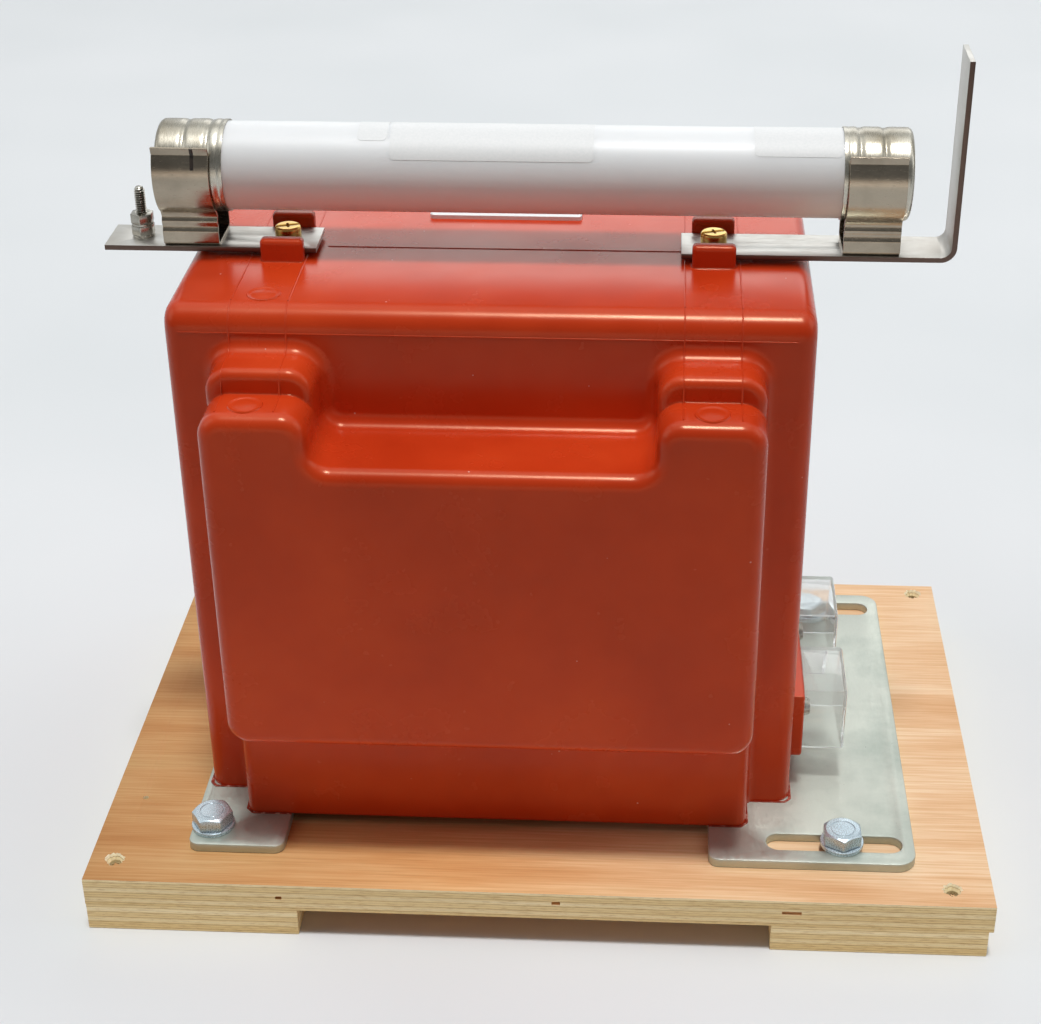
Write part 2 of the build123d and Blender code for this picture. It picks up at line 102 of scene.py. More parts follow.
def add_node(tree, kind, inputs=(), stops=(), **settings):
    """Add a shader node with its settings, its inputs and, for a ramp, its colour stops.

    An input is a value, a hex colour, an output to link from, or a node, which stands
    for its first output in use.
    """
    node = tree.nodes.new("ShaderNode" + kind)
    for name, value in settings.items():
        setattr(node, name, value)
    for name, value in dict(inputs).items():
        if isinstance(value, bpy.types.Node):
            value = next(output for output in value.outputs if output.enabled)
        if isinstance(value, bpy.types.NodeSocket):
            tree.links.new(value, node.inputs[name])
        else:
            node.inputs[name].default_value = linear(value) if isinstance(value, str) else value
    for index, (place, color) in enumerate(stops):
        elements = node.color_ramp.elements
        element = elements[index] if index < len(elements) else elements.new(place)
        element.position = place
        element.color = linear(color)
    return node


# Materials


def start_material(name):
    """A new, empty material, what adds its nodes, and the Object coordinates it reads."""
    material = bpy.data.materials.new(name)
    material.use_nodes = True
    material.node_tree.nodes.clear()
    add = partial(add_node, material.node_tree)
    return material, add, add("TexCoord").outputs["Object"]


def finish_material(material, inputs):
    """Close the material with a shader that has these inputs."""
    add = partial(add_node, material.node_tree)
    add("OutputMaterial", {"Surface": add("BsdfPrincipled", inputs)})
    return material


def moulded_epoxy_resin(looks, name="moulded_epoxy_resin", corner=1.6):
    """Filled epoxy casting resin with iron-oxide pigment, moulded against polished steel.

    The eye sees a glossy red skin with a slight orange peel, clouds where the filler
    settled, and pale specks of dust.
    """
    material, add, place = start_material(name)
    clouds = add("TexNoise", {"Vector": place, "Scale": 14.0, "Detail": 3.0, "Roughness": 0.55})
    tone = add("ValToRGB", {"Fac": clouds}, (
        (0.30, looks.resin_dark), (0.52, looks.resin_color), (0.78, looks.resin_light),
    ))
    # Dust specks, about 0.6 mm across and 15 mm apart
    specks = add("TexVoronoi", {"Vector": place, "Scale": 68.0, "Randomness": 1.0})
    speck_mask = add("MapRange", {
        "Value": specks, "From Min": 0.020, "From Max": 0.032, "To Min": 0.55, "To Max": 0.0,
    })
    dusty = add("Mix", {0: speck_mask, 6: tone, 7: "E9C9BE"}, data_type="RGBA")
    # A film of release agent dulls the gloss in places
    film = add("TexNoise", {"Vector": place, "Scale": 30.0, "Detail": 4.0, "Roughness": 0.6})
    gloss = add("MapRange", {
        "Value": film, "From Min": 0.3, "From Max": 0.7, "To Min": 0.20, "To Max": 0.30,
    })
    # Broad waves of shrinkage and a fine orange peel, over softened corners
    ripple = add("TexNoise", {"Vector": place, "Scale": 28.0, "Detail": 1.0})
    peel = add("TexNoise", {"Vector": place, "Scale": 260.0, "Detail": 2.0, "Roughness": 0.5})
    soft_corner = add("Bevel", {"Radius": corner * MM}, samples=6)
    waves = add("Bump", {
        "Height": ripple, "Normal": soft_corner, "Strength": 0.10, "Distance": 1.2 * MM,
    })
    skin = add("Bump", {"Height": peel, "Normal": waves, "Strength": 0.05, "Distance": 0.2 * MM})
    # Painted reflection: the warm specular tint colours the gloss as if it mirrored warm
    # surroundings
    return finish_material(material, {
        "Base Color": dusty, "Roughness": gloss, "Normal": skin, "IOR": 1.53,
        "Specular IOR Level": 0.42, "Specular Tint": "FFD4B0",
    })


def thin_resin_flash():
    """Resin that ran out under the mould, thin and brittle.

    The eye sees a dark red lip with pale spots where it chipped. Its red is darker than the
    casting's, partly as painted shade of the crease at the casting's foot.
    """
    material, add, place = start_material("thin_resin_flash")
    chips = add("TexNoise", {"Vector": place, "Scale": 420.0, "Detail": 3.0, "Roughness": 0.6})
    # Painted shade: the dark reds stand partly for the shade in the crease at the casting's foot
    tone = add("ValToRGB", {"Fac": chips}, ((0.3, "742010"), (0.55, "97331D"), (0.68, "CFA595")))
    return finish_material(material, {"Base Color": tone, "Roughness": 0.45})


def worn_metal(
    name, color, stain, roughness, grain, edge=0.2, stretch=(1, 1, 1), metallic=1.0,
    relief=0.12, bare=None,
):
    """A plated or bare metal.

    The eye sees a clean colour with clouds of a stain, highlights that break up on fine
    marks, and edges that catch the light. grain is the spacing of the rolling or turning
    marks and edge the radius of the edges, in millimetres. stretch draws the marks out
    along an axis, relief is their depth, and bare is the colour of sheared front and back
    sides.
    """
    material, add, place = start_material(name)
    clouds = add("TexNoise", {"Vector": place, "Scale": 22.0, "Detail": 5.0, "Roughness": 0.6})
    tone = add("ValToRGB", {"Fac": clouds}, ((0.36, stain), (0.58, color)))
    if bare:
        sideways = add("Math", {0: true_normal(add).outputs["Y"]}, operation="ABSOLUTE")
        is_side = add("MapRange", {"Value": sideways, "From Min": 0.75, "From Max": 0.9})
        tone = add("Mix", {0: is_side, 6: tone, 7: bare}, data_type="RGBA")
    drawn = add("Mapping", {"Vector": place, "Scale": stretch})
    marks = add("TexNoise", {
        "Vector": drawn, "Scale": 1000.0 / grain, "Detail": 3.0, "Roughness": 0.6,
    })
    gloss = add("MapRange", {
        "Value": marks, "From Min": 0.25, "From Max": 0.75,
        "To Min": roughness * 0.72, "To Max": roughness * 1.35,
    })
    bright_edge = add("Bevel", {"Radius": edge * MM}, samples=4)
    scratches = add("Bump", {
        "Height": marks, "Normal": bright_edge, "Strength": relief, "Distance": 0.05 * MM,
    })
    return finish_material(material, {
        "Base Color": tone, "Roughness": gloss, "Normal": scratches, "Metallic": metallic,
    })


def true_normal(add):
    """The parts of the surface's own direction, for materials that differ by side."""
    return add("SeparateXYZ", {"Vector": add("NewGeometry").outputs["True Normal"]})


def fir_plywood(looks):
    """Rotary-cut fir plywood, bare.

    The eye sees warm streaked veneer that is darker and more orange towards the left, partly
    from weathering and partly as painted shade where less light falls, and sawn edges with
    their plies in layers.
    """
    material, add, place = start_material("fir_plywood")
    split = add("SeparateXYZ", {"Vector": place})
    # Face grain runs along X: fibres about 1 mm apart, drawn out 45 times
    drawn = add("Mapping", {"Vector": place, "Scale": (0.022, 1.0, 1.0)})
    streaks = add("TexNoise", {"Vector": drawn, "Scale": 900.0, "Detail": 5.0, "Roughness": 0.62})
    face = add("ValToRGB", {"Fac": streaks}, (
        (0.28, "DCC09B"), (0.44, looks.wood_face), (0.60, "F0DDC0"), (0.80, "F5E8D2"),
    ))
    # Bands of early and late wood, and paler or rosier patches
    banded = add("Mapping", {"Vector": place, "Scale": (0.16, 1.0, 1.0)})
    patches = add("TexNoise", {"Vector": banded, "Scale": 34.0, "Detail": 4.0, "Roughness": 0.55})
    patch_tone = add("ValToRGB", {"Fac": patches}, (
        (0.30, "EBCBAE"), (0.45, "F7E0CB"), (0.55, "FFF0E3"), (0.72, "FFF8EF"),
    ))
    # Painted shade: the face darkens and warms towards the left, partly weathering and partly
    # light that falls off there
    left_shade_and_weather = add("MapRange", {"Value": split.outputs["X"], "From Min": -0.21, "From Max": 0.17})
    shade_and_weather_tone = add("ValToRGB", {"Fac": left_shade_and_weather}, (
        (0.0, "D2BE9C"), (0.45, "FBE6C4"), (1.0, "FFFFFF"),
    ))
    multiply = {"data_type": "RGBA", "blend_type": "MULTIPLY"}
    veneer = add("Mix", {0: 1.0, 6: face, 7: patch_tone}, **multiply)
    shaded_and_aged = add("Mix", {0: 1.0, 6: veneer, 7: shade_and_weather_tone}, **multiply)
    # Edge: plies with dark glue lines, every other one across the grain and darker
    waver = add("TexNoise", {"Vector": place, "Scale": 18.0, "Detail": 3.0})
    waver_mm = add("MapRange", {"Value": waver, "To Min": -0.5 * MM, "To Max": 0.5 * MM})
    level = add("Math", {0: split.outputs["Z"], 1: waver_mm}, operation="ADD")
    plies = add("Math", {0: level, 1: PLY}, operation="PINGPONG")
    ply_share = add("MapRange", {"Value": plies, "From Min": 0.0, "From Max": PLY})
    ply_tone = add("ValToRGB", {"Fac": ply_share}, (
        (0.0, "FDF4D8"), (0.43, "FCEFC8"), (0.49, "94713F"), (0.53, "EFDCAE"), (0.92, "F8EAC2"),
        (1.0, "DCC28E"),
    ))
    ends = add("Mapping", {"Vector": place, "Scale": (0.10, 0.10, 1.0)})
    fibres = add("TexNoise", {"Vector": ends, "Scale": 1300.0, "Detail": 4.0, "Roughness": 0.7})
    fibre_tone = add("ValToRGB", {"Fac": fibres}, (
        (0.32, "B39468"), (0.50, (0.92, 0.92, 0.92)), (0.8, "FFFFFF"),
    ))
    sawn = add("Mix", {0: 0.5, 6: ply_tone, 7: fibre_tone}, **multiply)
    upright = add("Math", {0: true_normal(add).outputs["Z"]}, operation="ABSOLUTE")
    is_face = add("MapRange", {"Value": upright, "From Min": 0.75, "From Max": 0.9})
    wood = add("Mix", {0: is_face, 6: sawn, 7: shaded_and_aged}, data_type="RGBA")
    relief = add("Bump", {"Height": streaks, "Strength": 0.35, "Distance": 0.25 * MM})
    torn = add("Bump", {"Height": fibres, "Normal": relief, "Strength": 0.5, "Distance": 0.3 * MM})
    return finish_material(material, {
        "Base Color": wood, "Roughness": 0.62, "Specular IOR Level": 0.35, "Normal": torn,
    })


def glazed_fuse_tube(looks):
    """White glazed ceramic tube.

    The eye sees an even, cool white with a soft gloss. Light spreads some millimetres
    into the ware, so that its underside isn't dark.
    """
    material, add, place = start_material("glazed_ceramic_tube")
    clouds = add("TexNoise", {"Vector": place, "Scale": 16.0, "Detail": 2.0})
    tone = add("ValToRGB", {"Fac": clouds}, ((0.3, "E7E9EA"), (0.7, looks.tube_color)))
    ripple = add("TexNoise", {"Vector": place, "Scale": 60.0, "Detail": 1.0})
    glaze = add("Bump", {"Height": ripple, "Strength": 0.04, "Distance": 0.3 * MM})
    return finish_material(material, {
        "Base Color": tone, "Roughness": 0.42, "Normal": glaze,
        "Subsurface Weight": 0.3, "Subsurface Radius": (1.0, 0.95, 0.9),
        "Subsurface Scale": 9 * MM, "Coat Weight": 0.08, "Coat Roughness": 0.30,
    })


def blank_vinyl_label():
    """White vinyl label stock, printed with nothing.

    The eye sees a duller white than the tube's, with a faint grain.
    """
    material, add, place = start_material("blank_vinyl_label")
    grain = add("TexNoise", {"Vector": place, "Scale": 900.0, "Detail": 2.0})
    tone = add("ValToRGB", {"Fac": grain}, ((0.3, "E3E5E5"), (0.7, "E9EAEA")))
    relief = add("Bump", {"Height": grain, "Strength": 0.06, "Distance": 0.05 * MM})
    return finish_material(material, {"Base Color": tone, "Roughness": 0.5, "Normal": relief})


def clear_polycarbonate():
    """Injection-moulded clear polycarbonate.

    The eye sees through it to the terminals, and finds it by its polished edges and light
    scuffs. The IOR is below the real 1.585, so that the thin walls show what is behind
    them, and a coat gives the real gloss back.
    """
    material, add, place = start_material("clear_polycarbonate")
    scuffs = add("TexNoise", {"Vector": place, "Scale": 320.0, "Detail": 4.0, "Roughness": 0.7})
    gloss = add("MapRange", {
        "Value": scuffs, "From Min": 0.45, "From Max": 0.75, "To Min": 0.04, "To Max": 0.22,
    })
    return finish_material(material, {
        "Base Color": "F6F8F7", "Roughness": gloss, "Transmission Weight": 0.92, "IOR": 1.12,
        "Coat Weight": 1.0, "Coat Roughness": 0.05,
    })


def marker_ink():
    """Dried marker ink on metal.

    The eye sees a dull black, with faint brown streaks where the film is thin.
    """
    material, add, place = start_material("marker_ink")
    streaks = add("TexNoise", {"Vector": place, "Scale": 700.0, "Detail": 2.0})
    tone = add("ValToRGB", {"Fac": streaks}, ((0.3, "17130F"), (0.75, "3A3028")))
    return finish_material(material, {"Base Color": tone, "Roughness": 0.45})


def pale_backdrop():
    """A seamless sweep of pale paper.

    The eye sees a cool, nearly even pale grey. What lights the object from below is warm
    near it and dim further off, as a sheet of board under it would be.
    """
    material, add, place = start_material("pale_backdrop_paper")
    grain = add("TexNoise", {"Vector": place, "Scale": 3.0, "Detail": 2.0})
    tone = add("ValToRGB", {"Fac": grain}, ((0.3, "DADEE0"), (0.7, "E1E4E6")))
    reach = add("VectorMath", {0: place}, operation="LENGTH")
    far_off = add("MapRange", {"Value": reach, "From Min": 0.36, "From Max": 0.66})
    board = add("Mix", {0: far_off, 6: "E8D5B4", 7: "746B60"}, data_type="RGBA")
    is_light = add("LightPath").outputs["Is Diffuse Ray"]
    paper = add("Mix", {0: is_light, 6: tone, 7: board}, data_type="RGBA")
    return finish_material(material, {
        "Base Color": paper, "Roughness": 0.8, "Specular IOR Level": 0.2,
    })


# Making of pieces


def deselect():
    """Nothing is selected and nothing is active."""
    if bpy.context.object and bpy.context.object.mode != "OBJECT":
        bpy.ops.object.mode_set(mode="OBJECT")
    bpy.ops.object.select_all(action="DESELECT")
    bpy.context.view_layer.objects.active = None


def pick(piece):
    """Only this piece is selected, and it is active."""
    deselect()
    piece.select_set(True)
    bpy.context.view_layer.objects.active = piece


@contextmanager
def editing(piece, action="SELECT"):
    """The piece is in edit mode, with all of its mesh selected or none of it."""
    pick(piece)
    bpy.ops.object.mode_set(mode="EDIT")
    bpy.ops.mesh.select_all(action=action)
    yield
    bpy.ops.object.mode_set(mode="OBJECT")


def link_piece(name, mesh):
    """A new object of a mesh, in the scene."""
    piece = bpy.data.objects.new(name, mesh)
    bpy.context.scene.collection.objects.link(piece)
    return piece


def apply_place(piece):
    """Move the piece's place, turn and scale into its mesh."""
    pick(piece)
    bpy.ops.object.transform_apply(location=True, rotation=True, scale=True)


def apply_modifier(piece, kind, **settings):
    """Add a modifier with its settings and apply it."""
    pick(piece)
    modifier = piece.modifiers.new(kind.lower(), kind)
    for name, value in settings.items():
        setattr(modifier, name, value)
    bpy.ops.object.modifier_apply(modifier=modifier.name)


def smooth(piece, angle=30):
    """Shade round surfaces smooth and keep edges sharper than the angle."""
    pick(piece)
    bpy.ops.object.shade_smooth_by_angle(angle=radians(angle))


def break_edges(piece, width, angle=35, segments=2):
    """Round the edges that are sharper than the angle."""
    apply_modifier(
        piece, "BEVEL", width=width, segments=segments, limit_method="ANGLE",
        angle_limit=radians(angle), use_clamp_overlap=True,
    )


def dress(piece, name, material, slot, *replaced):
    """Give a finished piece its name, its material and its seat on the fixed body."""
    piece.name = name
    piece.data.name = name
    piece.data.materials.clear()
    piece.data.materials.append(material)
    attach(piece, "root")
    if replaced:
        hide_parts(*replaced)


def paint(material, *names):
    """Give CAD nodes a material."""
    for name in names:
        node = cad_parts[name]
        node.data.materials.clear()
        node.data.materials.append(material)


def rounded_copy(node, width, segments=2, angle=35):
    """A copy of a CAD node's mesh, cleaned, with its edges rounded by a width in mm."""
    piece = link_piece(node + "_finished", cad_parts[node].data.copy())
    pick(piece)
    bpy.ops.mesh.customdata_custom_splitnormals_clear()
    with editing(piece):
        bpy.ops.mesh.remove_doubles(threshold=0.002 * MM)
        bpy.ops.mesh.dissolve_limited(angle_limit=radians(0.6))
    break_edges(piece, width * MM, angle, segments)
    smooth(piece, angle)
    return piece


def refinish(node, name, material, slot, width, segments=2):
    """A rounded copy, under a new name, takes a CAD node's place."""
    dress(rounded_copy(node, width, segments), name, material, slot, node)


def middle_of(node):
    """The middle of a CAD node's box."""
    low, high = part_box(node)
    return (low + high) / 2


def add_box(low, high):
    """A box between two corners, its place in its mesh."""
    deselect()
    low, high = Vector(low), Vector(high)
    bpy.ops.mesh.primitive_cube_add(size=1, location=(low + high) / 2, scale=high - low)
    piece = bpy.context.object
    apply_place(piece)
    return piece


def add_rod(radius, low, height, vertices=48, top_radius=None):
    """An upright cylinder or cone frustum from its lower middle."""
    deselect()
    bpy.ops.mesh.primitive_cone_add(
        vertices=vertices,
        radius1=radius,
        radius2=radius if top_radius is None else top_radius,
        depth=height,
        location=Vector(low) + Vector((0, 0, height / 2)),
    )
    piece = bpy.context.object
    apply_place(piece)
    return piece


def cut(piece, cutter):
    """Take the cutter's shape out of the piece, then remove the cutter."""
    apply_modifier(piece, "BOOLEAN", object=cutter, operation="DIFFERENCE", solver="EXACT")
    bpy.data.objects.remove(cutter)


def cut_groove(piece, low, high, place, turn=0):
    """Cut a box between two corners, moved to a place and turned about Z in degrees."""
    groove = add_box(low, high)
    groove.rotation_euler = (0, 0, radians(turn))
    groove.location = place
    apply_place(groove)
    cut(piece, groove)


def surface_of(node):
    """The CAD node's surface, to be asked where a ray meets it."""
    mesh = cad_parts[node].data
    return BVHTree.FromPolygons(
        [v.co for v in mesh.vertices], [tuple(p.vertices) for p in mesh.polygons]
    )


def loft(name, rows, angle=50):
    """A closed skin over rows of points, each row a loop across the piece."""
    made = bmesh.new()
    loops = [[made.verts.new(point) for point in row] for row in rows]
    for one, two in zip(loops, loops[1:]):
        for k in range(len(one)):
            other = (k + 1) % len(one)
            made.faces.new((one[k], one[other], two[other], two[k]))
    made.faces.new(loops[0])
    made.faces.new(list(reversed(loops[-1])))
    bmesh.ops.recalc_face_normals(made, faces=made.faces)
    mesh = bpy.data.meshes.new(name)
    made.to_mesh(mesh)
    made.free()
    piece = link_piece(name, mesh)
    smooth(piece, angle)
    return piece


def ridge_on(surface, name, starts, rays, width, height):
    """A low round ridge on a surface, where rays from the starts meet it."""
    middle = []
    for start, ray in zip(starts, rays):
        place, normal, _, _ = surface.ray_cast(Vector(start), Vector(ray))
        if place is not None:
            if normal.dot(Vector(ray)) > 0:
                normal = -normal
            middle.append((place, normal))
    # Points across the ridge, as shares of its width and height
    section = ((-0.5, -0.3), (-0.3, 0.7), (0, 1.0), (0.3, 0.7), (0.5, -0.3))
    rows = []
    for index, (place, normal) in enumerate(middle):
        before = middle[max(index - 1, 0)][0]
        after = middle[min(index + 1, len(middle) - 1)][0]
        across = (after - before).cross(normal).normalized()
        rows.append([place + across * (a * width) + normal * (b * height) for a, b in section])
    return loft(name, rows)


def turned(section, place, turn=(0, 0, 0), steps=72, angle=35):
    """A turned body: a half section of (radius, height) points in mm, spun about its axis."""
    mesh = bpy.data.meshes.new("turned")
    joints = [(k, k + 1) for k in range(len(section) - 1)]
    mesh.from_pydata([(radius * MM, 0, height * MM) for radius, height in section], joints, [])
    piece = link_piece("turned", mesh)
    apply_modifier(
        piece, "SCREW", angle=2 * pi, steps=steps, render_steps=steps,
        use_merge_vertices=True, merge_threshold=0.001 * MM,
    )
    piece.rotation_euler = turn
    piece.location = place
    apply_place(piece)
    with editing(piece):
        bpy.ops.mesh.remove_doubles(threshold=0.001 * MM)
        bpy.ops.mesh.normals_make_consistent(inside=False)
    smooth(piece, angle)
    return piece


def bead_at_foot(name, corners, seed):
    """Resin flash on the plate: an uneven bead along a line in plan, in mm.

    The casting is on the right-hand side of the line.
    """
    chance = random.Random(seed)
    rows, swell = [], 0.5
    for (x0, y0), (x1, y1) in zip(corners, corners[1:]):
        run = Vector((x1 - x0, y1 - y0, 0))
        out = Vector((-run.y, run.x, 0)).normalized()
        count = max(2, int(run.length / 2.2))
        for k in range(count + 1):
            # The bead's swelling wanders, and is pulled back to its middle
            swell += (0.5 - swell) * 0.25 + chance.uniform(-0.28, 0.28)
            reach = max(0.2, 0.15 + 0.9 * swell)
            rise = max(0.15, 0.1 + 0.6 * swell)
            middle = Vector((x0, y0, PLATE_TOP / MM)) + run * (k / count)
            section = ((-1.0, -0.3), (-1.0, rise), (reach * 0.5, rise * 0.45), (reach, -0.2))
            rows.append([(middle + out * a + Vector((0, 0, b))) * MM for a, b in section])
    return loft(name, rows, 60)


# Settings


def color_property(name, description, color):
    """A colour that a user may change, by default an sRGB hex colour."""
    return bpy.props.FloatVectorProperty(
        name=name, description=description, subtype="COLOR", default=linear(color)[:3],
        min=0, max=1,
    )


def length_property(name, description, default, low, high):
    """A length that a user may change, with its default and limits in millimetres."""
    return bpy.props.FloatProperty(
        name=name, description=description, unit="LENGTH", default=default * MM,
        min=low * MM, max=high * MM,
    )


class TRANSFORMER_PG_looks(bpy.types.PropertyGroup):
    """Colours that a user may change."""

    resin_color: color_property("Resin", "Middle tone of the casting", "C43A16")
    resin_dark: color_property("Resin, dark", "Darker clouds of the casting", "B83312")
    resin_light: color_property("Resin, light", "Lighter clouds of the casting", "D0441C")
    wood_face: color_property("Plywood face", "Middle tone of the face veneer", "E8CEAB")
    tube_color: color_property("Fuse tube", "Glaze of the fuse tube", "ECEEEF")


class TRANSFORMER_PG_sizes(bpy.types.PropertyGroup):
    """Sizes that a user may change."""

    seam_width: length_property("Seam width", "Width of the mould seams", 0.9, 0.2, 3)
    seam_height: length_property("Seam height", "Height of the mould seams", 0.35, 0.05, 1)
    thread_pitch: length_property(
        "Thread pitch", "Pitch of the line stud's thread", 1.06, 0.4, 2
    )
    plank_edge: length_property(
        "Plywood edge", "How far the plywood's edges are broken", 0.5, 0.1, 3
    )


# Pieces


class TRANSFORMER_OT_skid(bpy.types.Operator):
    """Plywood board on two runners, with the wood screws that hold them"""

    bl_idname = "transformer.skid"
    bl_label = "Plywood skid"

    # Places of the wood screws, and of gaps in the core with their length, in mm
    screws = ((-199.4, -124.0), (192.6, -127.8), (199.6, 130.7), (-198.0, 128.5))
    core_gaps = ((114.0, 21.4, 9.0), (7.8, 22.9, 4.0), (-121.0, 21.0, 3.0))

    def execute(self, context):
        edge = context.scene.transformer_sizes.plank_edge
        wood = fir_plywood(context.scene.transformer_looks)
        low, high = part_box("skid_board")
        board = add_box(low, high)
        for x, y in self.screws:
            cut(board, self.ragged_bore(x * MM, y * MM))
        # Hole of a nail that was pulled out
        cut(board, add_rod(1.4 * MM, (-195.6 * MM, -76.8 * MM, high.z - 8 * MM), 9 * MM, 16))
        for corner in CORNERS:
            bolt = middle_of("hex_bolt_" + corner)
            cut(board, add_rod(BOLT_HOLE, (bolt.x, bolt.y, low.z - 1 * MM), 20 * MM))
        # Gaps in the core where two inner veneers don't meet
        for x, z, length in self.core_gaps:
            near = (x * MM, low.y - 1 * MM, z * MM)
            cut(board, add_box(near, ((x + length) * MM, low.y + 4 * MM, (z + 1.7) * MM)))
        planks = [(board, "plywood_board", "skid_board")]
        for side in SIDES:
            runner = add_box(*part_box("skid_runner_" + side))
            for end in ("front_", "back_"):
                bolt = middle_of("hex_bolt_" + end + side)
                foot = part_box("hex_bolt_" + end + side)[0].z
                cut(runner, add_rod(BOLT_HOLE, (bolt.x, bolt.y, foot), 20 * MM))
            planks.append((runner, "plywood_runner_" + side, "skid_runner_" + side))
        for plank, name, node in planks:
            break_edges(plank, edge, 50)
            smooth(plank)
            dress(plank, name, wood, "plywood", node)
        self.add_screws()
        return {"FINISHED"}

    def ragged_bore(self, x, y):
        """The cutter of a countersunk screw hole with a torn rim."""
        bore = add_rod(2.6 * MM, (x, y, BOARD_TOP - 3.6 * MM), 3.7 * MM, 36, 4.3 * MM)
        chips = random.Random(int(x * 1e6))
        for vertex in bore.data.vertices:
            if vertex.co.z > BOARD_TOP - 1 * MM:
                out = Vector((vertex.co.x - x, vertex.co.y - y, 0))
                vertex.co += out * chips.uniform(-0.12, 0.22)
        return bore

    def add_screws(self):
        """Sunk screw heads, each with a crossed slot that stopped at its own turn."""
        # Steel with a thin yellow passivation: a dull, warm glint down in the holes
        steel = worn_metal(
            "yellow_passivated_screw", "B9A882", "7A6A4C", roughness=0.38, grain=0.4, edge=0.25
        )
        foot = BOARD_TOP - 4.9 * MM
        for index, (x, y) in enumerate(self.screws):
            screw = add_rod(1.2 * MM, (x * MM, y * MM, foot), 1.9 * MM, 32, 2.9 * MM)
            for turn in (20, 110):
                cut_groove(
                    screw, mm(-1.7, -0.4, 0), mm(1.7, 0.4, 3),
                    (x * MM, y * MM, foot + 0.9 * MM), turn + 13 * index,
                )
            smooth(screw)
            dress(screw, f"wood_screw_{index + 1}", steel, "zinc_steel")


class TRANSFORMER_OT_casting(bpy.types.Operator):
    """Resin casting with its mould seams, plug marks and the flash at its foot"""

    bl_idname = "transformer.casting"
    bl_label = "Resin casting"

    # The mould's four cross seams, by their x in mm
    seams = (("a", -134.0), ("b", -109.0), ("c", 62.7), ("d", 87.3))
    # What such a seam runs over, from the middle of the top outward: level runs by their
    # first reach and step, round corners by their centre's reach and height, and a count
    seam_path = (
        ("level", 10.5, 1.5, 36),
        ("corner", 62.7, 278.4, 16),
        ("level", 74.2, 1.5, 12),
        ("corner", 91.4, 266.5, 14),
        ("level", 96.6, 1.7, 10),
    )
    # Level of the parting line round the block, at the lower end of the shoulder
    parting_level = 278.2 * MM
    # Round marks of the mould's plugs, by their x and y, and their rings as a half section
    plugs = (
        ("front_left", -122.0, -104.2),
        ("front_right", 74.8, -104.6),
        ("back_left", -122.0, 108.0),
        ("back_right", 74.8, 108.4),
        ("top_left", -120.8, -53.8),
    )
    plug_rings = (
        (0, 0.85), (2.2, 0.78), (4.2, 0.45), (5.4, 0.10), (6.2, 0.08), (6.8, 0.50),
        (7.3, 0.52), (7.8, -0.3), (0, -0.3),
    )
    # Where the flash runs on the plate, in plan, with the casting to the right
    flash = {
        "left": (
            (-120.5, 95.4), (-139.0, 95.4), (-141.9, 92.3), (-141.9, 75.3), (-161.0, 75.3),
            (-163.3, 73.0), (-163.3, -69.0), (-161.0, -71.5), (-141.9, -71.5),
            (-141.9, -88.5), (-139.0, -91.6), (-120.5, -91.6),
        ),
        "right": (
            (80.4, -91.6), (95.4, -91.6), (98.3, -88.5), (98.3, -71.5), (117.3, -71.5),
            (119.7, -69.0), (119.7, 73.0), (117.3, 75.3), (98.3, 75.3), (98.3, 92.3),
            (95.4, 95.4), (80.4, 95.4),
        ),
    }
    flash_seeds = {"left": 3, "right": 8}

    def execute(self, context):
        looks = context.scene.transformer_looks
        paint(moulded_epoxy_resin(looks), "cast_body")
        # The same resin, with corners sharp enough for thin seams
        resin = moulded_epoxy_resin(looks, "moulded_epoxy_seam", 0.15)
        surface = surface_of("cast_body")
        for name, starts, rays, width, height in self.lines(context.scene.transformer_sizes):
            ridge = ridge_on(surface, name, starts, rays, width, height)
            dress(ridge, name, resin, "cast_resin")
        for name, x, y in self.plugs:
            place, _, _, _ = surface.ray_cast(Vector((x * MM, y * MM, FAR)), Vector(DOWN))
            disc = turned(self.plug_rings, (x * MM, y * MM, place.z), angle=60)
            dress(disc, "plug_mark_" + name, resin, "cast_resin")
        brittle = thin_resin_flash()
        for side, corners in self.flash.items():
            bead = bead_at_foot("resin_flash_" + side, corners, self.flash_seeds[side])
            dress(bead, "resin_flash_" + side, brittle, "cast_resin")
        return {"FINISHED"}

    def lines(self, sizes):
        """Name, starts, rays, width and height of each seam and parting line."""
        for letter, x in self.seams:
            for end, name in ((-1, "mould_seam_front_"), (1, "mould_seam_back_")):
                starts, rays = self.seam_rays(x * MM, end)
                yield name + letter, starts, rays, sizes.seam_width, sizes.seam_height
        # Along the middle of the top, between the straps
        top = [((-101.0 + 2.0 * k) * MM, MID_Y, FAR) for k in range(82)]
        yield "parting_line_top", top, [DOWN] * len(top), sizes.seam_width, sizes.seam_height
        along = [(-156.0 + 3.0 * k) * MM for k in range(90)]
        across = [(-62.0 + 3.0 * k) * MM for k in range(43)]
        for side, starts, ray in (
            ("front", [(x, -FAR, self.parting_level) for x in along], (0, 1, 0)),
            ("back", [(x, FAR, self.parting_level) for x in along], (0, -1, 0)),
            ("left", [(-FAR, y, self.parting_level) for y in across], (1, 0, 0)),
            ("right", [(FAR, y, self.parting_level) for y in across], (-1, 0, 0)),
        ):
            yield "parting_line_" + side, starts, [ray] * len(starts), 0.7 * MM, 0.22 * MM

    def seam_rays(self, x, end):
        """Rays that find the seam's path at one x, toward the front (-1) or back (1) end."""
        starts, rays = [], []
        for kind, reach, other, count in self.seam_path:
            for k in range(count):
                if kind == "level":
                    starts.append((x, MID_Y + end * (reach + other * k) * MM, FAR))
                    rays.append(DOWN)
                else:
                    turn = radians(90 * k / (count - 1))
                    y, z = MID_Y + end * reach * MM, other * MM
                    starts.append((x, y + end * sin(turn) * 60 * MM, z + cos(turn) * 60 * MM))
                    rays.append((0, -end * sin(turn), -cos(turn)))
        return starts, rays


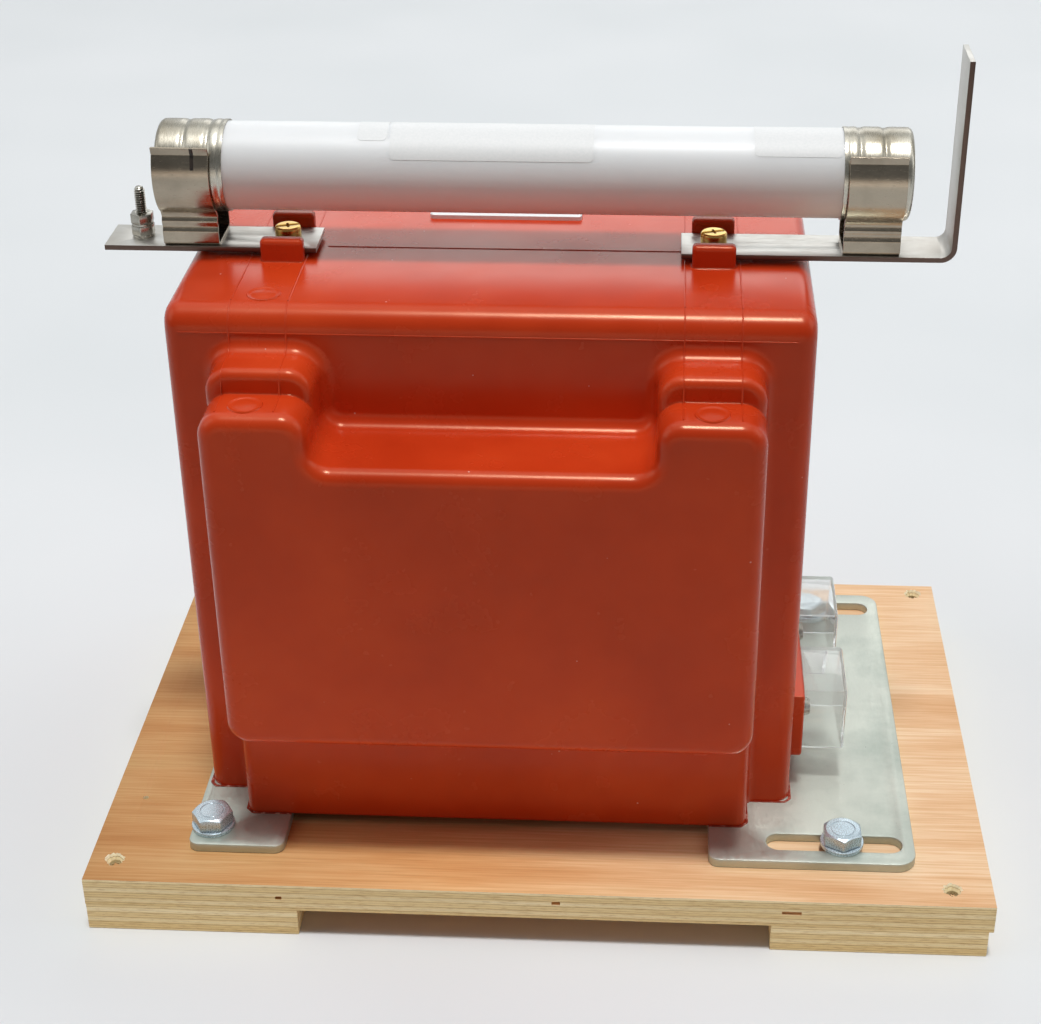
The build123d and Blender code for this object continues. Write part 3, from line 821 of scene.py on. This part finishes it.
class TRANSFORMER_OT_base_plate(bpy.types.Operator):
    """Zinc-plated steel base plate"""

    bl_idname = "transformer.base_plate"
    bl_label = "Base plate"

    def execute(self, context):
        # Hot-rolled steel sheet, laser cut and zinc plated: pale, faintly green, half dull
        zinc = worn_metal(
            "zinc_plated_sheet", "C4C9BE", "AAB2A8", roughness=0.38, grain=0.8, edge=0.5,
            stretch=(1.0, 0.25, 1.0), metallic=0.66,
        )
        refinish("base_plate", "base_plate_finished", zinc, "zinc_plate", 0.45)
        return {"FINISHED"}


class TRANSFORMER_OT_bolts(bpy.types.Operator):
    """Four M10 bolts and their flat washers"""

    bl_idname = "transformer.bolts"
    bl_label = "Bolts"

    def execute(self, context):
        # Bright zinc with a blue passivation on forged heads: cool, with hard glints
        zinc = worn_metal(
            "blue_passivated_zinc", "D0DCE2", "B2C2CA", roughness=0.27, grain=0.5, edge=0.3,
            metallic=0.65,
        )
        for corner in CORNERS:
            bolt = rounded_copy("hex_bolt_" + corner, 0.25, angle=25)
            middle, top = middle_of("hex_bolt_" + corner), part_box("hex_bolt_" + corner)[1].z
            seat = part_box("bolt_washer_" + corner)[1].z
            # The round seat under the head leaves a thin gap, and the die left a ring on top
            for inner, outer, low, high in (
                (8.0, 12.0, seat - 0.02 * MM, seat + 0.5 * MM),
                (5.3, 5.8, top - 0.22 * MM, top + 1 * MM),
            ):
                ring = add_rod(outer * MM, (middle.x, middle.y, low), high - low, 64)
                cut(ring, add_rod(inner * MM, (middle.x, middle.y, low - 1 * MM), 9 * MM, 64))
                cut(bolt, ring)
            smooth(bolt, 25)
            dress(bolt, "hex_bolt_finished_" + corner, zinc, "zinc_steel", "hex_bolt_" + corner)
            refinish("bolt_washer_" + corner, "flat_washer_" + corner, zinc, "zinc_steel", 0.3)
        return {"FINISHED"}


class TRANSFORMER_OT_label(bpy.types.Operator):
    """Blank sticker on the top of the casting, behind the fuse"""

    bl_idname = "transformer.label"
    bl_label = "Top sticker"

    def execute(self, context):
        low = (-58 * MM, 38.5 * MM, BODY_TOP - 0.1 * MM)
        sticker = add_box(low, (14 * MM, 62 * MM, BODY_TOP + 0.14 * MM))
        with editing(sticker, "DESELECT"):
            pass
        # Only the four upright edges are rounded
        points = sticker.data.vertices
        for edge in sticker.data.edges:
            run = points[edge.vertices[0]].co - points[edge.vertices[1]].co
            edge.select = abs(run.x) < 1e-6 and abs(run.y) < 1e-6
        bpy.ops.object.mode_set(mode="EDIT")
        bpy.ops.mesh.bevel(offset=2 * MM, segments=6, affect="EDGES")
        bpy.ops.object.mode_set(mode="OBJECT")
        smooth(sticker)
        dress(sticker, "top_sticker", blank_vinyl_label(), None)
        return {"FINISHED"}


class TRANSFORMER_OT_terminals(bpy.types.Operator):
    """Brass inserts and screws of the four terminals"""

    bl_idname = "transformer.terminals"
    bl_label = "Terminals"

    # Half section of a low-voltage screw, from the face of its washer, in mm
    low_screw = (
        (0, -6.0), (2.4, -6.0), (2.4, 1.2), (4.2, 1.2), (4.2, 4.4), (3.6, 5.6), (0, 6.0),
    )
    washer_half = 5.2 * MM
    washer_thick = 1.2 * MM

    def execute(self, context):
        # Free-cutting brass, turned and left bare: warm yellow with darker tarnish
        brass = worn_metal("turned_brass", "ECCB7A", "C0964A", roughness=0.24, grain=0.3)
        paint(brass, "terminal_insert_left", "terminal_insert_right")
        paint(brass, "low_insert_front", "low_insert_back")
        for name in ("terminal_screw_left", "terminal_screw_right"):
            screw = rounded_copy(name, 0.15)
            low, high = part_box(name)
            place = ((low.x + high.x) / 2, (low.y + high.y) / 2, high.z)
            # The cross of a combination head, cut over its slot
            for turn in (15, 105):
                cut_groove(screw, mm(-2.6, -0.55, -1.6), mm(2.6, 0.55, 3), place, turn)
            smooth(screw, 35)
            dress(screw, name + "_finished", brass, "brass", name)
        # Nickel plating, cooler and brighter than the brass, on the screws under the covers
        nickel = worn_metal(
            "nickel_plated_screw", "D2CFC6", "A8A294", roughness=0.22, grain=0.3, edge=0.1
        )
        for end in ("front", "back"):
            name = "low_screw_" + end
            middle = middle_of(name)
            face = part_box("terminal_cover_" + end)[0].x
            place = (face, middle.y, middle.z)
            screw = turned(self.low_screw, place, (0, pi / 2, 0), 48, 30)
            cut_groove(screw, mm(4.4, -5, -0.6), mm(7, 5, 0.6), place)
            smooth(screw, 30)
            dress(screw, name + "_finished", nickel, "brass", name)
            half = self.washer_half
            washer = add_box(
                (face, middle.y - half, middle.z - half),
                (face + self.washer_thick, middle.y + half, middle.z + half),
            )
            break_edges(washer, 0.3 * MM)
            smooth(washer)
            dress(washer, "clamping_washer_" + end, nickel, "brass")
        return {"FINISHED"}


class TRANSFORMER_OT_straps(bpy.types.Operator):
    """Tinned copper straps"""

    bl_idname = "transformer.straps"
    bl_label = "Straps"

    def execute(self, context):
        # Copper bar with a matt tin plating: pale warm grey with long drawing marks, and
        # dark, dull copper on the sides that were sheared after plating
        tin = worn_metal(
            "matt_tin_plating", "CCCAC4", "BBB6AE", roughness=0.38, grain=0.5, edge=0.3,
            stretch=(0.08, 1.0, 1.0), relief=0.05, bare="64534B",
        )
        for side in SIDES:
            refinish("strap_" + side, "tinned_strap_" + side, tin, "tinned_copper", 0.35)
        return {"FINISHED"}


class TRANSFORMER_OT_fuse(bpy.types.Operator):
    """Fuse tube, its blank labels and its ferrules"""

    bl_idname = "transformer.fuse"
    bl_label = "Fuse"

    # Labels by their start and end along the tube in mm, and round it in degrees
    labels = (
        ("fuse_label_small", -83.3, -70.2, 55.0, 124.0),
        ("fuse_label_left", -68.6, 21.3, 29.0, 128.0),
        ("fuse_label_right", 91.6, 130.2, 39.6, 128.0),
    )
    label_corner = 2.2 * MM
    label_strips = 30
    # A ferrule's corner radius, and its rolled grooves by their height, in mm
    corner = 2.4
    grooves = (12.6, 23.4)

    def execute(self, context):
        paint(glazed_fuse_tube(context.scene.transformer_looks), "fuse_tube")
        # Deep-drawn brass cups with a dull nickel plating, scratched round by the clips:
        # a warm silver with soft bands of light
        nickel = worn_metal(
            "dull_nickel_plating", "BEBAAE", "8E8676", roughness=0.27, grain=0.35,
            stretch=(1.0, 0.12, 0.12),
        )
        for side, turn in (("left", pi / 2), ("right", -pi / 2)):
            self.add_ferrule(side, turn, nickel)
        paper = blank_vinyl_label()
        for name, start, end, low_turn, high_turn in self.labels:
            self.add_label(name, start, end, low_turn, high_turn, paper)
        return {"FINISHED"}

    def add_ferrule(self, side, turn, nickel):
        """A drawn cup with two soft rolled grooves and a small bead at its mouth."""
        low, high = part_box("fuse_ferrule_" + side)
        outer = (high.y - low.y) / 2 / MM
        length = (high.x - low.x) / MM
        inner = TUBE_RADIUS / MM + 0.1
        flat = outer - self.corner
        section = [(0, 0.25), (14.0, 0.2), (flat, 0)]
        for k in range(1, 9):
            bend = radians(90 * k / 8)
            section.append((flat + self.corner * sin(bend), self.corner - self.corner * cos(bend)))
        steps, wall_start = 90, 3.0
        for k in range(steps + 1):
            height = wall_start + (length - wall_start) * k / steps
            radius = outer
            for groove in self.grooves:
                radius -= 0.62 * exp(-(((height - groove) / 1.25) ** 2))
            # A narrow neck just behind the mouth
            radius -= 0.18 * exp(-(((height - length + 2.6) / 0.8) ** 2))
            section.append((radius, height))
        section += [(outer - 0.35, length), (inner, length - 0.1), (inner, 1.2), (0, 1.2)]
        place = (low.x if side == "left" else high.x, MID_Y, TUBE_AXIS_Z)
        cup = turned(section, place, (0, turn, 0), 128, 40)
        dress(cup, "nickel_ferrule_" + side, nickel, "plated_ferrule", "fuse_ferrule_" + side)

    def add_label(self, name, start, end, low_turn, high_turn, paper):
        """A thin sheet with round corners, bent round the tube between two turns."""
        radius = TUBE_RADIUS + 0.06 * MM
        around = radius * radians(high_turn - low_turn)
        deselect()
        bpy.ops.mesh.primitive_plane_add(size=1)
        label = bpy.context.object
        label.scale = ((end - start) * MM, around, 1)
        apply_place(label)
        with editing(label):
            bpy.ops.mesh.bevel(offset=self.label_corner, segments=5, affect="VERTICES")
            for k in range(1, self.label_strips):
                bpy.ops.mesh.select_all(action="SELECT")
                height = around * (k / self.label_strips - 0.5)
                bpy.ops.mesh.bisect(plane_co=(0, height, 0), plane_no=(0, 1, 0))
        for vertex in label.data.vertices:
            turn = radians(low_turn) + (vertex.co.y + around / 2) / radius
            vertex.co = (
                vertex.co.x + (start + end) / 2 * MM,
                MID_Y - radius * cos(turn),
                TUBE_AXIS_Z + radius * sin(turn),
            )
        apply_modifier(label, "SOLIDIFY", thickness=0.12 * MM, offset=0.0)
        smooth(label)
        dress(label, name, paper, None)


class TRANSFORMER_OT_clips(bpy.types.Operator):
    """Spring clips and the rivets that hold them"""

    bl_idname = "transformer.clips"
    bl_label = "Fuse clips"

    def execute(self, context):
        # Phosphor-bronze spring strip, bent, with a thin bright nickel plating: a brownish
        # mirror that takes the colours round it
        spring = worn_metal(
            "nickel_plated_spring_bronze", "A99E8D", "8C8172", roughness=0.22, grain=0.5,
            stretch=(0.15, 1.0, 1.0), relief=0.03,
        )
        for side in SIDES:
            node = "fuse_clip_" + side
            refinish(node, "spring_clip_" + side, spring, "spring_metal", 0.15, 1)
        paint(spring, "clip_rivet_left", "clip_rivet_right")
        # A short stroke of marker on the left clip, from its lip down
        turns = [radians(13 + 1.6 * k) for k in range(22)]
        stroke = ridge_on(
            surface_of("fuse_clip_left"),
            "ink_stroke",
            [(-0.1558, MID_Y - 0.06 * cos(a), TUBE_AXIS_Z + 0.06 * sin(a)) for a in turns],
            [(0, cos(a), -sin(a)) for a in turns],
            1.9 * MM,
            0.06 * MM,
        )
        dress(stroke, "ink_stroke", marker_ink(), None)
        return {"FINISHED"}


class TRANSFORMER_OT_line_stud(bpy.types.Operator):
    """Line stud with its thread, nuts and washers"""

    bl_idname = "transformer.line_stud"
    bl_label = "Line stud"

    # Radii of the thread's root, foot and crest, in mm, and its steps round a turn
    root, foot, crest = 1.85, 1.75, 2.49
    steps = 28

    def execute(self, context):
        # Stainless steel, rolled thread: bright grey flanks, over a core painted dark as the shade
        # down in the thread's roots
        steel = worn_metal(
            "stainless_fastener", "C2BFB6", "918C82", roughness=0.24, grain=0.4, edge=0.05
        )
        # Painted shade: the core between the flanks is dark, standing in for the shade in the
        # thread's roots
        root_shade_steel = worn_metal(
            "thread_root_painted_shade", "5A544C", "3F3A34", roughness=0.45, grain=0.4, edge=0.05
        )
        low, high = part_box("line_stud")
        x, y = (low.x + high.x) / 2, (low.y + high.y) / 2
        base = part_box("stud_nut_upper")[1].z - 1.5 * MM
        tip = high.z - 0.01 * MM
        free = (tip - base) / MM
        core = turned(
            ((0, 0), (self.root, 0), (self.root, free - 1.1), (0, free - 1.1)),
            (x, y, base), steps=40, angle=40,
        )
        dress(core, "stud_core", root_shade_steel, "zinc_steel", "line_stud")
        end = turned(
            (
                (0, free - 1.15), (1.88, free - 1.15), (1.88, free - 0.9), (1.6, free - 0.35),
                (1.1, free), (0, free),
            ),
            (x, y, base), steps=40, angle=40,
        )
        dress(end, "stud_tip", steel, "zinc_steel")
        rows = self.thread_rows(x, y, base, tip, context.scene.transformer_sizes.thread_pitch)
        dress(loft("stud_thread", rows, 25), "stud_thread", steel, "zinc_steel")
        head = add_rod(4.6 * MM, (x, y, low.z), 3.5 * MM, 6)
        break_edges(head, 0.25 * MM)
        smooth(head)
        dress(head, "stud_head", steel, "zinc_steel")
        for place in ("lower", "upper"):
            refinish("stud_nut_" + place, "hex_nut_" + place, steel, "zinc_steel", 0.25)
            refinish("stud_washer_" + place, "small_washer_" + place, steel, "zinc_steel", 0.15)
        return {"FINISHED"}

    def thread_rows(self, x, y, base, tip, pitch):
        """Sections of a ridge that is wound round the core and runs out at the tip."""
        turns = (tip - base - 1.2 * MM) / pitch
        rows = []
        for k in range(int(turns * self.steps)):
            turn = 2 * pi * k / self.steps
            out = Vector((cos(turn), sin(turn), 0))
            middle = Vector((x, y, base + (k / self.steps + 0.5) * pitch))
            crest = self.crest
            if k >= (turns - 1) * self.steps:
                crest -= 0.6 * (k / self.steps - turns + 1)
            section = ((self.foot, -0.38), (crest, -0.09), (crest, 0.09), (self.foot, 0.38))
            rows.append([middle + out * (r * MM) + Vector((0, 0, h * pitch)) for r, h in section])
        return rows


class TRANSFORMER_OT_covers(bpy.types.Operator):
    """Clear covers of the low-voltage terminals"""

    bl_idname = "transformer.covers"
    bl_label = "Terminal covers"

    def execute(self, context):
        clear = clear_polycarbonate()
        for end in ("front", "back"):
            refinish("terminal_cover_" + end, "clear_cover_" + end, clear, "clear_cover", 0.3)
        return {"FINISHED"}


class TRANSFORMER_OT_stage(bpy.types.Operator):
    """Pale floor, soft studio light and the camera"""

    bl_idname = "transformer.stage"
    bl_label = "Stage"

    # Area lamps: name, place, height of what they are aimed at, size, watts and colour
    lamps = (
        ("overhead_softbox", (0.0, 0.15, 2.1), 0.2, (2.6, 1.9), 12, "FFFFFF"),
        ("left_fill", (-1.9, -0.3, 1.4), 0.2, (1.2, 1.4), 5, "FFFFFF"),
        ("right_fill", (1.9, 0.1, 1.4), 0.2, (1.2, 1.4), 6, "FFFFFF"),
        ("back_light", (0.2, 2.1, 1.3), 0.2, (1.8, 0.9), 6, "FFFFFF"),
        ("front_bounce", (0.0, -1.7, 0.25), 0.02, (1.8, 0.4), 1.7, "FFF0E2"),
    )

    def execute(self, context):
        deselect()
        bpy.ops.mesh.primitive_plane_add(size=12, location=(0, 0, 0))
        floor = context.object
        floor.name = "floor"
        floor.data.materials.append(pale_backdrop())
        context.scene.world = self.soft_room()
        self.add_lamps(context)
        self.add_camera(context)
        context.scene.view_settings.view_transform = "Standard"
        return {"FINISHED"}

    def soft_room(self):
        """A dim room that lights the object, and a pale one that the camera sees."""
        world = bpy.data.worlds.new("soft_room")
        world.use_nodes = True
        world.node_tree.nodes.clear()
        add = partial(add_node, world.node_tree)
        room = add("Background", {"Color": "E6EAEE", "Strength": 0.11})
        seen = add("Background", {"Color": "E2E7EA", "Strength": 0.8})
        # Reflections show a pale wall behind the object and a dim room in front of it
        ray = add("TexCoord").outputs["Generated"]
        direction = add("SeparateXYZ", {"Vector": ray})
        wall = add("MapRange", {
            "Value": direction.outputs["Y"],
            "From Min": -0.75, "From Max": 0.5, "To Min": 0.22, "To Max": 0.95,
        })
        mirrored = add("Background", {"Color": "E6EAEC", "Strength": wall})
        path = add("LightPath")
        bright = add("MixShader", {0: path.outputs["Is Glossy Ray"], 1: seen, 2: mirrored})
        mixed = add("MixShader", {0: path.outputs["Is Diffuse Ray"], 1: bright, 2: room})
        add("OutputWorld", {"Surface": mixed})
        return world

    def add_lamps(self, context):
        """A soft sun from above, and large lamps round the object."""
        deselect()
        bpy.ops.object.light_add(type="SUN", location=(0.1, -0.6, 2.0))
        key = context.object
        key.name = "overhead_key"
        key.data.energy = 2.0
        key.data.angle = radians(9)
        key.rotation_euler = (radians(5), radians(2), 0)
        for name, place, aim_height, size, power, color in self.lamps:
            deselect()
            bpy.ops.object.light_add(type="AREA", location=place)
            lamp = context.object
            lamp.name = name
            lamp.data.shape = "RECTANGLE"
            lamp.data.size, lamp.data.size_y = size
            lamp.data.energy = power
            lamp.data.color = linear(color)[:3]
            aim = Vector((0, 0, aim_height)) - Vector(place)
            lamp.rotation_euler = aim.to_track_quat("-Z", "Y").to_euler()

    def add_camera(self, context):
        """The camera that was fitted to the object's edges, with its angles in radians."""
        place = Vector((0.05236, -0.85421, 0.63788))
        yaw, pitch, roll = 0.0559, 0.5199, 0.0057
        deselect()
        bpy.ops.object.camera_add()
        camera = context.object
        camera.name = "photo_camera"
        camera.matrix_world = (
            Matrix.Translation(place)
            @ Matrix.Rotation(yaw, 4, "Z")
            @ Matrix.Rotation(-pitch, 4, "X")
            @ Matrix.Rotation(roll, 4, "Y")
            @ Matrix.Rotation(pi / 2, 4, "X")
        )
        camera.data.sensor_width = 36.0
        camera.data.lens = 69.40
        camera.data.shift_x = -0.0370
        camera.data.shift_y = 0.0072
        context.scene.camera = camera


class TRANSFORMER_PT_panel(bpy.types.Panel):
    """Sizes, colours and the steps in order"""

    bl_idname = "TRANSFORMER_PT_panel"
    bl_label = "Fused voltage transformer"
    bl_space_type = "VIEW_3D"
    bl_region_type = "UI"
    bl_category = "Transformer"

    def draw(self, context):
        layout = self.layout
        for group in (context.scene.transformer_sizes, context.scene.transformer_looks):
            column = layout.column(align=True)
            for name in group.__annotations__:
                column.prop(group, name)
        for step in STEPS:
            layout.operator(step.bl_idname)


STEPS = (
    TRANSFORMER_OT_stage,
    TRANSFORMER_OT_skid,
    TRANSFORMER_OT_base_plate,
    TRANSFORMER_OT_bolts,
    TRANSFORMER_OT_casting,
    TRANSFORMER_OT_label,
    TRANSFORMER_OT_terminals,
    TRANSFORMER_OT_straps,
    TRANSFORMER_OT_fuse,
    TRANSFORMER_OT_clips,
    TRANSFORMER_OT_line_stud,
    TRANSFORMER_OT_covers,
)
CLASSES = (TRANSFORMER_PG_looks, TRANSFORMER_PG_sizes, *STEPS, TRANSFORMER_PT_panel)


def register():
    for item in CLASSES:
        bpy.utils.register_class(item)
    bpy.types.Scene.transformer_looks = bpy.props.PointerProperty(type=TRANSFORMER_PG_looks)
    bpy.types.Scene.transformer_sizes = bpy.props.PointerProperty(type=TRANSFORMER_PG_sizes)


def unregister():
    del bpy.types.Scene.transformer_sizes
    del bpy.types.Scene.transformer_looks
    for item in reversed(CLASSES):
        bpy.utils.unregister_class(item)


def main():
    """Build every piece in order."""
    register()
    for step in STEPS:
        group, name = step.bl_idname.split(".")
        getattr(getattr(bpy.ops, group), name)()


if __name__ == "__main__":
    main()
